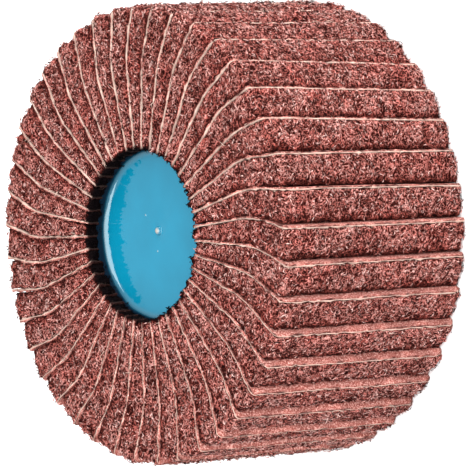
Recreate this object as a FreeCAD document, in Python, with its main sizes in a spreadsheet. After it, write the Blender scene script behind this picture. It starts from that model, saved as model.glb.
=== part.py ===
import FreeCAD, Part
import math
import os
import Sketcher

# Interleaved flap wheel: web flaps and abrasive cloth flaps stand by turns round a cast resin core.
# Millimetres and degrees. The axis is +Z, the back lies on Z = 0 and the closed front face looks up.
# Angles grow anticlockwise seen from the front. Every flap's tip leans clockwise.

doc = FreeCAD.newDocument("flap_wheel")

SIZES = [
    ("wheel_radius", 50, "axis to the high corner of a web flap"),
    ("wheel_width", 50, "back edge to front edge of the flaps"),
    ("flap_count", 41, "web flaps, and as many cloth flaps"),
    ("first_station_angle", 86.1, "where the first cloth flap stands"),
    ("wander_once_angle", 1.29, "uneven stacking of the flaps, one wave in a turn"),
    ("wander_once_phase", 61, "where that wave peaks"),
    ("wander_twice_angle", 0.74, "two waves in a turn"),
    ("wander_twice_phase", -58, "where they peak"),
    ("wander_thrice_angle", 0.53, "three waves in a turn"),
    ("wander_thrice_phase", 167, "where they peak"),
    ("bow_start", 34.6, "radius where the flaps start to bend"),
    ("bow_radius", 23, "bend of a cloth flap's middle line"),
    ("bow_angle", 18, "lean of a flap's tip after the bend"),
    ("web_free_angle", 12.5, "lean of a web flap's free face, which stands clear of the cloth behind it"),
    ("web_tip_drop", 1.7, "fall of a web flap's cut edge, from its high corner to its low one"),
    ("cloth_thickness", 0.8, "cloth with its grain"),
    ("cloth_tip_inset", 0.6, "cloth tip below the wheel radius"),
    ("cloth_corner", 1.2, "cut corners of a cloth flap's tip"),
    ("flap_clearance", 0.05, "between a cloth flap and a web flap"),
    ("core_radius", 18.5, "flanges of the resin core"),
    ("core_waist", 13.9, "resin between the flanges, where the flap roots sit"),
    ("core_recess", 2.5, "back of the core below the flaps' edges"),
    ("front_recess", 4.5, "flat front of the core below the flaps' edges"),
    ("creep_height", 1.7, "resin that crept up the flap roots as it set"),
    ("creep_width", 2, "ring where the resin rises to that height"),
    ("flange_thickness", 3.4, "each flange of the core"),
    ("cast_clearance", 0.1, "between a flap's root and the resin"),
    ("hub_radius", 9, "barrel of the steel hub"),
    ("hub_length", 27, "hub along the axis"),
    ("hub_flange_radius", 12, "flange that backs on the resin"),
    ("key_flats", 22, "hexagon at the hub's inner end, across flats"),
    ("key_length", 11, "hexagon along the axis, which holds the hub in the resin"),
    ("hub_clearance", 0.03, "between the hub and the resin"),
    ("thread_radius", 5.918, "wall of the M14 hole, at the thread's crests"),
    ("thread_depth", 20, "threaded wall and its countersink, without the drill's point"),
    ("thread_countersink", 1.2, "countersink at the hole's mouth"),
    ("drill_point_angle", 59, "half angle of the drill's point"),
]


def make_sheet():
    """Write one row for each size: its name, its value and what it means."""
    table = doc.addObject("Spreadsheet::Sheet", "Sizes")
    for row, (alias, value, meaning) in enumerate(SIZES, start=1):
        table.set(f"A{row}", alias)
        table.set(f"B{row}", str(value))
        table.set(f"C{row}", meaning)
        table.setAlias(f"B{row}", alias)
    doc.recompute()
    return table


sheet = make_sheet()


def cell(alias):
    """The value of a size, for the first placing of sketch geometry."""
    return float(sheet.get(alias))


# The shared lengths that several sketches use, in the words of the expressions.
FACE_OFFSET = "(Sizes.cloth_thickness / 2 + Sizes.flap_clearance)"
ROOT_RADIUS = "(Sizes.core_waist + Sizes.cast_clearance)"
SHOULDER_RADIUS = "(Sizes.core_radius + Sizes.cast_clearance)"
CLOTH_TIP = "(Sizes.wheel_radius - Sizes.cloth_tip_inset)"
BACK_INSET = "(Sizes.core_recess + Sizes.flange_thickness + Sizes.cast_clearance)"
FRONT_INSET = "(Sizes.front_recess + Sizes.flange_thickness + Sizes.cast_clearance)"
WAVES = [("wander_once", 1), ("wander_twice", 2), ("wander_thrice", 3)]


def station_words(index):
    """The angle of a cloth flap, as an expression of the sheet."""
    turn = f"{index} * 360 / Sizes.flap_count"
    words = f"Sizes.first_station_angle + {turn}"
    for wave, times in WAVES:
        words += f" - Sizes.{wave}_angle * cos(({times} * {turn} - Sizes.{wave}_phase) * 1 deg)"
    return words


def station_degrees(index):
    """The same angle as a number."""
    turn = index * 360 / cell("flap_count")
    angle = cell("first_station_angle") + turn
    for wave, times in WAVES:
        angle -= cell(f"{wave}_angle") * math.cos(math.radians(times * turn - cell(f"{wave}_phase")))
    return angle


class Outline:
    """A sketch on one of a body's own origin planes, with its constraints bound to the sheet."""

    ORIGIN = (-1, 1)

    def __init__(self, body, name, plane_role):
        self.sketch = body.newObject("Sketcher::SketchObject", name)
        plane = next(item for item in body.Origin.OriginFeatures if item.Role == plane_role)
        self.sketch.AttachmentSupport = [(plane, "")]
        self.sketch.MapMode = "FlatFace"

    def line(self, start, end):
        ends = [FreeCAD.Vector(*start, 0), FreeCAD.Vector(*end, 0)]
        return self.sketch.addGeometry(Part.LineSegment(*ends), False)

    def arc(self, centre, radius, start_angle, end_angle):
        circle = Part.Circle(FreeCAD.Vector(*centre, 0), FreeCAD.Vector(0, 0, 1), radius)
        return self.sketch.addGeometry(Part.ArcOfCircle(circle, start_angle, end_angle), False)

    def polygon(self, points):
        """Closed straight outline. Its sides stay level or upright where the points are."""
        sides = []
        for start, end in zip(points, points[1:] + points[:1]):
            side = self.line(start, end)
            if abs(start[0] - end[0]) < 1e-9:
                self.relate("Vertical", side)
            elif abs(start[1] - end[1]) < 1e-9:
                self.relate("Horizontal", side)
            sides.append(side)
        for side, following in zip(sides, sides[1:] + sides[:1]):
            self.relate("Coincident", side, 2, following, 1)
        return sides

    def relate(self, kind, *items):
        self.sketch.addConstraint(Sketcher.Constraint(kind, *items))

    def size(self, kind, items, words, value):
        """A measured constraint: words is its expression and value its first number."""
        index = self.sketch.addConstraint(Sketcher.Constraint(kind, *items, value))
        self.sketch.setExpression(f"Constraints[{index}]", words)

    def place(self, point, x_words, x, y_words, y):
        """Tie a point's two coordinates. A coordinate of 0 lies on the axis."""
        for kind, words, value in (("DistanceX", x_words, x), ("DistanceY", y_words, y)):
            self.size(kind, (*self.ORIGIN, *point), words, value)

    def reach(self, point, words, value):
        """Tie a point's distance from the wheel's axis."""
        self.size("Distance", (*self.ORIGIN, *point), words, value)


def turned(point, angle):
    """A point of the sketch plane turned about the axis."""
    x, y = point
    return (x * math.cos(angle) - y * math.sin(angle), x * math.sin(angle) + y * math.cos(angle))


def run_out(point, turn, reach):
    """Where a straight run that leans by a turn meets the given distance from the axis."""
    run = (math.cos(turn), -math.sin(turn))
    along = point[0] * run[0] + point[1] * run[1]
    length = math.sqrt(along**2 + reach**2 - point[0] ** 2 - point[1] ** 2) - along
    return (point[0] + length * run[0], point[1] + length * run[1])


def bent_face(offset, turn, reach):
    """Root, start and end of the bend, and tip of a flap's face at an offset from its middle line."""
    start = cell("bow_start")
    bow = cell("bow_radius")
    root = cell("core_waist") + cell("cast_clearance")
    bend_start = (start, offset)
    bend_end = (start + (bow + offset) * math.sin(turn), (bow + offset) * math.cos(turn) - bow)
    return (math.sqrt(root**2 - offset**2), offset), bend_start, bend_end, run_out(bend_end, turn, reach)


def draw_face(outline, offset, turn, reach, step=0.0):
    """Draw a flap's face, turned to its station: a radial line, a bend and a straight run to the tip."""
    points = bent_face(offset, turn, reach)
    root, bend_start, bend_end, tip = (turned(point, step) for point in points)
    centre = turned((cell("bow_start"), -cell("bow_radius")), step)
    upright = math.pi / 2 + step
    line = outline.line(root, bend_start)
    arc = outline.arc(centre, cell("bow_radius") + offset, upright - turn, upright)
    run = outline.line(bend_end, tip)
    outline.relate("Tangent", line, 2, arc, 2)
    outline.relate("Tangent", arc, 1, run, 1)
    return line, arc, run


def new_body(label):
    body = doc.addObject("PartDesign::Body", label)
    body.Label = label
    return body


def pad_width(body, outline):
    """Pad an outline from the back of the wheel to its front."""
    pad = body.newObject("PartDesign::Pad", "pad")
    pad.Profile = outline.sketch
    pad.setExpression("Length", "Sizes.wheel_width * 1 mm")
    return pad


def cut_across(body, outline):
    """Cut straight through a flap, from face to face."""
    cut = body.newObject("PartDesign::Pocket", "notches")
    cut.Profile = outline.sketch
    cut.Type = "ThroughAll"
    cut.SideType = "Symmetric"
    return cut


def draw_root_notches(outline):
    """Two rectangles that leave a flap's root as a tongue between the core's flanges."""
    margin = 1.0
    inner = cell("core_waist") - margin
    shoulder = cell("core_radius") + cell("cast_clearance")
    held = cell("flange_thickness") + cell("cast_clearance")
    tongue_start = cell("core_recess") + held
    tongue_end = cell("wheel_width") - cell("front_recess") - held
    width = cell("wheel_width")
    past_front = f"Sizes.wheel_width + {margin}"
    inner_words = f"Sizes.core_waist - {margin}"
    notches = [
        (-margin, f"-{margin}", tongue_start, BACK_INSET),
        (tongue_end, f"Sizes.wheel_width - {FRONT_INSET}", width + margin, past_front),
    ]
    for low, low_words, high, high_words in notches:
        corners = [(inner, low), (shoulder, low), (shoulder, high), (inner, high)]
        sides = outline.polygon(corners)
        outline.place((sides[0], 1), inner_words, inner, low_words, low)
        outline.place((sides[2], 1), SHOULDER_RADIUS, shoulder, high_words, high)


def cloth_tip_words():
    """Where the cloth's middle line ends, along its station's radial line, as an expression."""
    lean_cos = "cos(Sizes.bow_angle * 1 deg)"
    lean_sin = "sin(Sizes.bow_angle * 1 deg)"
    bend_x = f"(Sizes.bow_start + Sizes.bow_radius * {lean_sin})"
    bend_y = f"(Sizes.bow_radius * (1 - {lean_cos}))"
    along = f"({bend_x} * {lean_cos} + {bend_y} * {lean_sin})"
    run = f"(sqrt({along} ^ 2 + {CLOTH_TIP} ^ 2 - {bend_x} ^ 2 - {bend_y} ^ 2) - {along})"
    return f"({bend_x} + {run} * {lean_cos})"


def draw_tip_corners(outline):
    """Two triangles that take off the cloth's outer corners, drawn a little past its edges."""
    margin = 0.4
    reach = cell("wheel_radius") - cell("cloth_tip_inset")
    tip = bent_face(0, math.radians(cell("bow_angle")), reach)[3][0]
    leg = cell("cloth_corner") + 2 * margin
    width = cell("wheel_width")
    edges = [(-margin, f"-{margin}", 1), (width + margin, f"Sizes.wheel_width + {margin}", -1)]
    for level, level_words, inward in edges:
        outer = (tip + margin, level)
        along = (tip + margin - leg, level)
        down = (tip + margin, level + inward * leg)
        sides = outline.polygon([outer, along, down])
        leg_words = f"(Sizes.cloth_corner + {2 * margin})"
        outline.place((sides[0], 1), f"{cloth_tip_words()} + {margin}", outer[0], level_words, level)
        outline.size("DistanceX", (sides[0], 2, sides[0], 1), leg_words, leg)
        ends = (sides[2], 2, sides[2], 1) if inward > 0 else (sides[2], 1, sides[2], 2)
        outline.size("DistanceY", ends, leg_words, leg)


def make_web_flap(index):
    """A web flap fills the room from one cloth flap to the next, but its free face bends less."""
    body = new_body(f"web_flap_{index + 1:02d}")
    start = cell("bow_start")
    bow = cell("bow_radius")
    offset = cell("cloth_thickness") / 2 + cell("flap_clearance")
    root = cell("core_waist") + cell("cast_clearance")
    tip = cell("wheel_radius")
    low_tip = tip - cell("web_tip_drop")
    turn = math.radians(cell("bow_angle"))
    free_turn = math.radians(cell("web_free_angle"))
    step = math.radians(station_degrees(index + 1) - station_degrees(index))
    step_words = f"(({station_words(index + 1)}) - ({station_words(index)}))"

    # Behind the flap is its own station's cloth, ahead of it the next one's.
    outline = Outline(body, "section", "XY_Plane")
    behind_line, behind_arc, behind_run = draw_face(outline, offset, free_turn, low_tip)
    ahead_line, ahead_arc, ahead_run = draw_face(outline, -offset, turn, tip, step)
    corners = bent_face(offset, free_turn, low_tip), bent_face(-offset, turn, tip)
    tip_cut = outline.line(corners[0][3], turned(corners[1][3], step))
    root_cut = outline.line(turned(corners[1][0], step), corners[0][0])
    outline.relate("Coincident", behind_run, 2, tip_cut, 1)
    outline.relate("Coincident", tip_cut, 2, ahead_run, 2)
    outline.relate("Coincident", ahead_line, 1, root_cut, 1)
    outline.relate("Coincident", root_cut, 2, behind_line, 1)

    outline.relate("Horizontal", behind_line)
    outline.size("DistanceY", (*outline.ORIGIN, behind_line, 1), FACE_OFFSET, offset)
    outline.size("DistanceX", (*outline.ORIGIN, behind_line, 2), "Sizes.bow_start", start)
    outline.size("Radius", (behind_arc,), f"Sizes.bow_radius + {FACE_OFFSET}", bow + offset)
    outline.size("Angle", (behind_run,), "-Sizes.web_free_angle * 1 deg", -free_turn)
    outline.size("Angle", (ahead_line,), f"{step_words} * 1 deg", step)
    outline.size("Distance", (*outline.ORIGIN, ahead_line), FACE_OFFSET, offset)
    start_words = f"sqrt(Sizes.bow_start ^ 2 + {FACE_OFFSET} ^ 2)"
    outline.reach((ahead_line, 2), start_words, math.hypot(start, offset))
    outline.size("Radius", (ahead_arc,), f"Sizes.bow_radius - {FACE_OFFSET}", bow - offset)
    outline.size("Angle", (ahead_run,), f"({step_words} - Sizes.bow_angle) * 1 deg", step - turn)
    outline.reach((behind_line, 1), ROOT_RADIUS, root)
    outline.reach((ahead_line, 1), ROOT_RADIUS, root)
    outline.reach((behind_run, 2), "Sizes.wheel_radius - Sizes.web_tip_drop", low_tip)
    outline.reach((ahead_run, 2), "Sizes.wheel_radius", tip)

    pad_width(body, outline)
    notches = Outline(body, "root_notches", "XZ_Plane")
    draw_root_notches(notches)
    cut_across(body, notches)
    set_station(body, index)
    return body


def make_cloth_flap(index):
    """A cloth flap stands radially, then bends towards its tip, which is cut square."""
    body = new_body(f"cloth_flap_{index + 1:02d}")
    start = cell("bow_start")
    bow = cell("bow_radius")
    half = cell("cloth_thickness") / 2
    root = cell("core_waist") + cell("cast_clearance")
    tip = cell("wheel_radius") - cell("cloth_tip_inset")
    turn = math.radians(cell("bow_angle"))
    half_words = "Sizes.cloth_thickness / 2"

    outline = Outline(body, "section", "XY_Plane")
    behind = draw_face(outline, half, turn, tip)
    ahead = draw_face(outline, -half, turn, tip)
    corners = bent_face(half, turn, tip), bent_face(-half, turn, tip)
    tip_cut = outline.line(corners[1][3], corners[0][3])
    root_cut = outline.line((root, half), (root, -half))
    outline.relate("Coincident", ahead[2], 2, tip_cut, 1)
    outline.relate("Coincident", tip_cut, 2, behind[2], 2)
    outline.relate("Perpendicular", tip_cut, behind[2])
    outline.relate("Coincident", behind[0], 1, root_cut, 1)
    outline.relate("Coincident", root_cut, 2, ahead[0], 1)

    for (line, arc, run), side, sign in ((behind, half, "+"), (ahead, -half, "-")):
        outline.relate("Horizontal", line)
        outline.size("DistanceX", (*outline.ORIGIN, line, 2), "Sizes.bow_start", start)
        outline.size("DistanceY", (*outline.ORIGIN, line, 1), f"{sign}{half_words}", side)
        outline.size("Radius", (arc,), f"Sizes.bow_radius {sign} {half_words}", bow + side)
        outline.size("Angle", (run,), "-Sizes.bow_angle * 1 deg", -turn)
    outline.relate("Vertical", root_cut)
    outline.size("DistanceX", (*outline.ORIGIN, ahead[0], 1), ROOT_RADIUS, root)
    outline.reach((behind[2], 2), CLOTH_TIP, tip)

    pad_width(body, outline)
    notches = Outline(body, "notches_and_corners", "XZ_Plane")
    draw_root_notches(notches)
    draw_tip_corners(notches)
    cut_across(body, notches)
    set_station(body, index)
    return body


def set_station(body, index):
    """Turn a flap about the axis to its own place in the ring."""
    axis = FreeCAD.Vector(0, 0, 1)
    turn = FreeCAD.Rotation(axis, station_degrees(index))
    body.Placement = FreeCAD.Placement(FreeCAD.Vector(0, 0, 0), turn)
    body.setExpression("Placement.Rotation.Angle", f"({station_words(index)}) * 1 deg")


def make_cloth_groups(flaps):
    """Neighbouring cloth flaps share a file, a few to each."""
    per_group = 3
    groups = []
    for first in range(0, len(flaps), per_group):
        label = f"cloth_flaps_{len(groups) + 1:02d}"
        group = doc.addObject("Part::Compound", label)
        group.Label = label
        group.Links = flaps[first:first + per_group]
        groups.append(group)
    return groups


def turn_section(body, feature, name, corners):
    """Add or cut a turned feature. Each corner has a radius and a level, with words where it is a size."""
    outline = Outline(body, f"{name}_section", "XZ_Plane")
    sides = outline.polygon([corner[0] for corner in corners])
    for side, (place, x_words, y_words) in zip(sides, corners):
        if place == (0, 0):
            outline.relate("Coincident", side, 1, *outline.ORIGIN)
        if x_words:
            outline.size("DistanceX", (*outline.ORIGIN, side, 1), x_words, place[0])
        if y_words:
            outline.size("DistanceY", (*outline.ORIGIN, side, 1), y_words, place[1])
    if corners[0][0] != (0, 0):
        outline.relate("PointOnObject", sides[0], 1, -2)
    turning = body.newObject(feature, name)
    turning.Profile = outline.sketch
    turning.ReferenceAxis = (outline.sketch, ["V_Axis"])
    turning.Angle = 360
    return turning


def add_hexagon(body, feature, flats_words, flats, top_words, top, length_words):
    """A hexagon across flats, padded or pocketed down from its top level."""
    outline = Outline(body, "hexagon", "XY_Plane")
    corner = flats / 2 / math.cos(math.pi / 6)
    points = [turned((corner, 0), turn * math.pi / 3) for turn in range(6)]
    sides = []
    for begin, end in zip(points, points[1:] + points[:1]):
        sides.append(outline.line(begin, end))
    for side, following in zip(sides, sides[1:] + sides[:1]):
        outline.relate("Coincident", side, 2, following, 1)
    for side, following in zip(sides[:4], sides[1:5]):
        outline.relate("Equal", side, following)
    corner_words = f"({flats_words}) / (2 * cos(30 deg))"
    outline.relate("PointOnObject", sides[0], 1, -1)
    outline.size("DistanceX", (*outline.ORIGIN, sides[0], 1), corner_words, corner)
    for side in sides[:5]:
        outline.reach((side, 2), corner_words, corner)
    outline.sketch.AttachmentOffset = FreeCAD.Placement(FreeCAD.Vector(0, 0, top), FreeCAD.Rotation())
    outline.sketch.setExpression("AttachmentOffset.Base.z", f"({top_words}) * 1 mm")
    prism = body.newObject(feature, "hexagon_key")
    prism.Profile = outline.sketch
    prism.setExpression("Length", f"({length_words}) * 1 mm")
    prism.Reversed = feature == "PartDesign::Pad"
    return prism


def make_resin_core():
    """A spool that holds the flap roots. Its closed front rises at the rim, and its back takes the hub."""
    gap = cell("hub_clearance")
    flange = cell("core_radius")
    waist = cell("core_waist")
    back = cell("core_recess")
    front = cell("wheel_width") - cell("front_recess")
    rise = cell("creep_height")
    ring = cell("creep_width")
    thick = cell("flange_thickness")
    seat = cell("hub_radius") + gap
    seat_end = cell("hub_length") + gap
    corners = [
        ((0, front), None, "Sizes.wheel_width - Sizes.front_recess"),
        ((0, seat_end), None, "Sizes.hub_length + Sizes.hub_clearance"),
        ((seat, seat_end), "Sizes.hub_radius + Sizes.hub_clearance", None),
        ((seat, back), None, "Sizes.core_recess"),
        ((flange, back), "Sizes.core_radius", None),
        ((flange, back + thick), None, "Sizes.core_recess + Sizes.flange_thickness"),
        ((waist, back + thick), "Sizes.core_waist", None),
        ((waist, front - thick), None, "Sizes.wheel_width - Sizes.front_recess - Sizes.flange_thickness"),
        ((flange, front - thick), "Sizes.core_radius", None),
        ((flange, front + rise), None, "Sizes.wheel_width - Sizes.front_recess + Sizes.creep_height"),
        ((flange - ring, front), "Sizes.core_radius - Sizes.creep_width", None),
    ]
    body = new_body("resin_core")
    turn_section(body, "PartDesign::Revolution", "spool", corners)
    add_hexagon(
        body, "PartDesign::Pocket",
        "Sizes.key_flats + 2 * Sizes.hub_clearance", cell("key_flats") + 2 * gap,
        "Sizes.hub_length + Sizes.hub_clearance", seat_end,
        "Sizes.key_length + 2 * Sizes.hub_clearance",
    )
    return body


def make_threaded_hub():
    """A steel bush: a back flange, a round barrel and a hexagon, with a blind threaded hole."""
    barrel = cell("hub_radius")
    length = cell("hub_length")
    flange = cell("hub_flange_radius")
    seat = cell("core_recess")
    wall = cell("thread_radius")
    depth = cell("thread_depth")
    sink = cell("thread_countersink")
    bottom = depth + wall / math.tan(math.radians(cell("drill_point_angle")))
    bottom_words = "Sizes.thread_depth + Sizes.thread_radius / tan(Sizes.drill_point_angle * 1 deg)"
    body = new_body("threaded_hub")
    turn_section(body, "PartDesign::Revolution", "bush", [
        ((0, 0), None, None),
        ((0, length), None, "Sizes.hub_length"),
        ((barrel, length), "Sizes.hub_radius", None),
        ((barrel, seat), None, "Sizes.core_recess"),
        ((flange, seat), "Sizes.hub_flange_radius", None),
        ((flange, 0), None, None),
    ])
    add_hexagon(
        body, "PartDesign::Pad",
        "Sizes.key_flats", cell("key_flats"),
        "Sizes.hub_length", length,
        "Sizes.key_length",
    )
    turn_section(body, "PartDesign::Groove", "threaded_hole", [
        ((0, 0), None, None),
        ((wall + sink, 0), "Sizes.thread_radius + Sizes.thread_countersink", None),
        ((wall, sink), "Sizes.thread_radius", "Sizes.thread_countersink"),
        ((wall, depth), None, "Sizes.thread_depth"),
        ((0, bottom), None, bottom_words),
    ])
    return body


def check(objects):
    """Stop if any object of the document failed, or a piece has no sound solid."""
    for item in doc.Objects:
        if "Invalid" in item.State or "Error" in item.State:
            raise RuntimeError(f"{item.Label} did not build: {item.State}")
    for item in objects:
        if item.Shape.isNull() or not item.Shape.isValid() or not item.Shape.Solids:
            raise RuntimeError(f"{item.Label} has no valid solid")


def main():
    count = int(cell("flap_count"))
    web_flaps = [make_web_flap(index) for index in range(count)]
    cloth_flaps = [make_cloth_flap(index) for index in range(count)]
    pieces = web_flaps + make_cloth_groups(cloth_flaps) + [make_resin_core(), make_threaded_hub()]
    doc.recompute()
    check(pieces)
    os.makedirs("parts", exist_ok=True)
    for piece in pieces:
        piece.Shape.exportStep(f"parts/{piece.Label}.step")
    print(f"{len(pieces)} nodes written")


main()
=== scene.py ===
import math

import bpy
import numpy as np
from mathutils import Matrix, Vector


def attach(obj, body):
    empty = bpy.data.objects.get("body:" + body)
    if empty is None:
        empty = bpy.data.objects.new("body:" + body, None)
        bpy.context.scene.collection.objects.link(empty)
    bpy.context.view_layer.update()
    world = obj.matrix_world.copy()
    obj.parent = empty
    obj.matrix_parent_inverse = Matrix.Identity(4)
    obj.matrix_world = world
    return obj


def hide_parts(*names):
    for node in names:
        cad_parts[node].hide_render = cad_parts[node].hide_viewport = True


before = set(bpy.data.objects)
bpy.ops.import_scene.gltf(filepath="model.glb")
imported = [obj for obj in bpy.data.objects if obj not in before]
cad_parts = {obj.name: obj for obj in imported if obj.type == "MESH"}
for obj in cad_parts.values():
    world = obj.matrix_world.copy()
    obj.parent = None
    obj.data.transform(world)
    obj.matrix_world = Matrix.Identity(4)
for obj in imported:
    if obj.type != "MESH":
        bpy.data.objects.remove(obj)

bl_info = {
    "name": "Flap wheel",
    "version": (1, 0, 0),
    "blender": (4, 5, 0),
    "location": "View3D > Sidebar > Flap wheel",
    "description": "Looks of a wheel of fibrous web flaps and abrasive cloth flaps on a cast resin core",
    "category": "Object",
}

# Shapes are worked out in millimetres, as in the construction, and scaled once when a mesh is made.
MM = 0.001

# First seeds of the random draws. A flap's number is added to the first three.
CLOTH_SEED, WAVE_SEED, WEB_SEED, RESIN_SEED = 300, 500, 700, 41

# Share of the cloth's thickness that is pale backing, the rest being grain in its binder.
BACKING_SHARE = 0.44

# How far round the wheel the skew and the crept resin reach before they fall to a third.
SKEW_SPREAD, CREEP_SPREAD = math.radians(32), math.radians(52)

# Radius in mm at which a turned surface ends beside its pole.
POLE = 0.05

# Steps along a flap's root, as shares of the width: close where the resin's surfaces cross it.
ROOT_STEPS = np.array([0.015, 0.03, 0.05, 0.12, 0.3, 0.5, 0.7, 0.84, 0.9, 0.94, 0.97, 0.985])


def length(name, description, millimetres):
    return bpy.props.FloatProperty(
        name=name, description=description, default=millimetres * MM, unit="LENGTH", precision=5,
    )


def angle(name, description, degrees):
    return bpy.props.FloatProperty(
        name=name, description=description, default=math.radians(degrees), subtype="ANGLE",
    )


def whole(name, description, number):
    return bpy.props.IntProperty(name=name, description=description, default=number, min=1)


def linear(code):
    """A colour written as RRGGBB in sRGB, as linear red, green, blue and a full alpha."""
    parts = np.array([int(code[at:at + 2], 16) for at in (0, 2, 4)]) / 255
    low = parts / 12.92
    high = ((parts + 0.055) / 1.055) ** 2.4
    return (*np.where(parts <= 0.04045, low, high), 1.0)


def colour(name, description, code):
    return bpy.props.FloatVectorProperty(
        name=name, description=description, default=linear(code), size=4, subtype="COLOR", min=0, max=1,
    )


class FlapSizes(bpy.types.PropertyGroup):
    """Where the flaps run, as in the construction, and how rough they are."""

    inner: length("Inner radius", "Where the flaps leave the resin", 18.6)
    root: length("Root radius", "Inner end of the flaps in the construction", 14.0)
    width: length("Width", "Back edge to front edge", 50.0)
    web_high: length("Web tip", "High corner of a web flap", 50.0)
    web_low: length("Web low tip", "Low corner of a web flap", 48.3)
    cloth_tip: length("Cloth tip", "Cut edge of the cloth flaps", 49.4)
    cloth_half: length("Half cloth", "Half the cloth's thickness", 0.4)
    cloth_reach: length("Long cloth", "How far the cloth stands out at the rim", 0.3)
    cloth_thin: length("Thin cloth", "How much room the cloth leaves before its grain", 0.3)
    web_corner: length("Web corner", "Rounding of the web's outer corners", 1.0)
    cloth_corner: length("Cloth corner", "Rounding of the cloth's outer corners", 1.2)
    face_offset: length("Face offset", "Cloth's middle line to the web's face", 0.45)
    bow_start: length("Bend start", "Radius where the flaps start to bend", 34.6)
    bow_radius: length("Bend radius", "Bend of the cloth's middle line", 23.0)
    bow_turn: angle("Lean", "Lean of the tip after the bend", 18.0)
    free_turn: angle("Free lean", "Lean of the web's free face", 12.5)
    web_relief: length("Web relief", "Hills and hollows of the web", 0.26)
    web_swell: length("Swell", "How far the web's tip stands out between its corners", 0.3)
    web_fill: length("Fill", "How far the web swells towards the cloth behind it at the tip", 0.9)
    web_sink: length("Web sink", "Solid part of the web below its outermost fibres", 0.12)
    cloth_wave: length("Cloth wave", "Unevenness of the cloth between the webs", 0.28)
    skew: angle("Skew", "Most that the flaps lean from front to back", 3.6)
    skew_place: angle("Skew place", "Where round the wheel they lean most", -41.5)
    # Real fibres are finer and many more. These are as thick as they need to be to show.
    fibre_radius: length("Fibre radius", "Bonded fibre with its grain", 0.115)
    fibre_count: whole("Fibres", "Loose fibres on a web flap", 2250)
    fray_count: whole("Frayed yarns", "Frayed yarns on a cloth flap", 90)


class FlapColours(bpy.types.PropertyGroup):
    """Colours of the web and the cloth."""

    # Near black of the flaps' roots: resin soaked into them, and painted shade of the recess round the
    # core.
    soaked_and_shaded: colour("Soaked web", "Web soaked with resin at its root", "060102")
    # Painted shade of the web's depth between its fibres.
    pore_shade: colour("Pore", "Depth of the web", "1C0403")
    web_dark: colour("Dark fibre", "Fibres thick with grain", "41140E")
    web_mid: colour("Fibre", "Most of the fibres", "9C564E")
    web_pale: colour("Bare fibre", "Fibres rubbed bare", "DDB9B2")
    web_red: colour("Red patch", "Where the binder lies thicker", "BF6A60")
    backing: colour("Backing", "Cut edge of the cloth", "A08A80")
    grain: colour("Grain", "Grain side of the cloth", "92564E")


class CoreSizes(bpy.types.PropertyGroup):
    """Sizes and colours of the resin core."""

    radius: length("Core radius", "Flanges of the resin core", 18.5)
    waist: length("Waist", "Resin between the flanges", 13.9)
    front: length("Front level", "Flat front of the core", 45.5)
    back: length("Back level", "Flat back of the core", 2.5)
    flange: length("Flange", "Thickness of each flange", 3.4)
    creep: length("Creep", "Height that the resin creeps up the flaps", 1.8)
    creep_fall: length("Creep fall", "Distance from the flaps in which that height falls to a third", 0.8)
    creep_place: angle("Creep place", "Where round the core the resin crept highest", 86.5)
    blue: colour("Resin blue", "Pigmented resin", "066A85")
    # Painted shade: the resin darkened beside the flaps' walls.
    painted_edge_shade: colour("Deep blue", "Resin where it thins against the flaps", "02121F")
    # Pale over bubbles and pinheads: air under the skin, and a painted highlight.
    froth_and_highlight: colour("Froth", "Thin skin over a bubble", "8E8780")


class HubSizes(bpy.types.PropertyGroup):
    """Sizes and colour of the threaded hub."""

    barrel: length("Barrel", "Radius of the barrel", 9.0)
    flange: length("Flange", "Radius of the back flange", 12.0)
    total: length("Length", "Hub along the axis", 27.0)
    crest: length("Crest", "Thread crest in the hole", 5.918)
    ground: length("Ground", "Thread ground in the hole", 7.0)
    pitch: length("Pitch", "Pitch of the thread", 2.0)
    depth: length("Depth", "Depth of the threaded wall", 20.0)
    steel: colour("Steel", "Turned steel", "9A9C9E")


def in_mm(group, name):
    """A length of a property group in millimetres."""
    return getattr(group, name) / MM


def wrapped(turn):
    """An angle between two directions, as -pi to pi."""
    return (turn + np.pi) % (2 * np.pi) - np.pi


def hills(points, rng, size, waves=28):
    """Smooth random relief of about unit height: the mean of sines over random directions.

    h(p) = sum of sin(2 pi d . p / size + phase) * sqrt(2 / waves), with d of lengths 0.6 to 1.4."""
    ways = rng.normal(size=(waves, 3))
    ways /= np.linalg.norm(ways, axis=1)[:, None]
    ways *= rng.uniform(0.6, 1.4, (waves, 1)) * 2 * np.pi / size
    phases = rng.uniform(0, 2 * np.pi, waves)
    return np.sin(points @ ways.T + phases).sum(axis=-1) * math.sqrt(2 / waves)


def unit(vectors):
    """Vectors made one long."""
    return vectors / np.maximum(np.linalg.norm(vectors, axis=-1, keepdims=True), 1e-9)


def flap_face(sizes, offset, turn, reach, along):
    """Points of a flap's face in its own station, x outward and y ahead.

    A straight run at y = offset to the bend, an arc of radius bow + offset through turn, then a
    straight run to the radius reach. along runs 0 to 1 by length of path."""
    start, bow, inner = in_mm(sizes, "bow_start"), in_mm(sizes, "bow_radius"), in_mm(sizes, "inner")
    first = math.sqrt(inner**2 - offset**2)
    bend = np.array([start + (bow + offset) * math.sin(turn), (bow + offset) * math.cos(turn) - bow])
    run = np.array([math.cos(turn), -math.sin(turn)])
    along_run = bend @ run
    last = math.sqrt(along_run**2 + reach**2 - bend @ bend) - along_run
    straight, curved = start - first, (bow + offset) * turn
    path = along * (straight + curved + last)
    lean = np.clip((path - straight) / (bow + offset), 0, turn)
    past = np.clip(path - straight - curved, 0, None)
    before = np.clip(straight - path, 0, None)
    x = start - before + (bow + offset) * np.sin(lean) + past * run[0]
    y = (bow + offset) * np.cos(lean) - bow + past * run[1]
    return x, y


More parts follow.
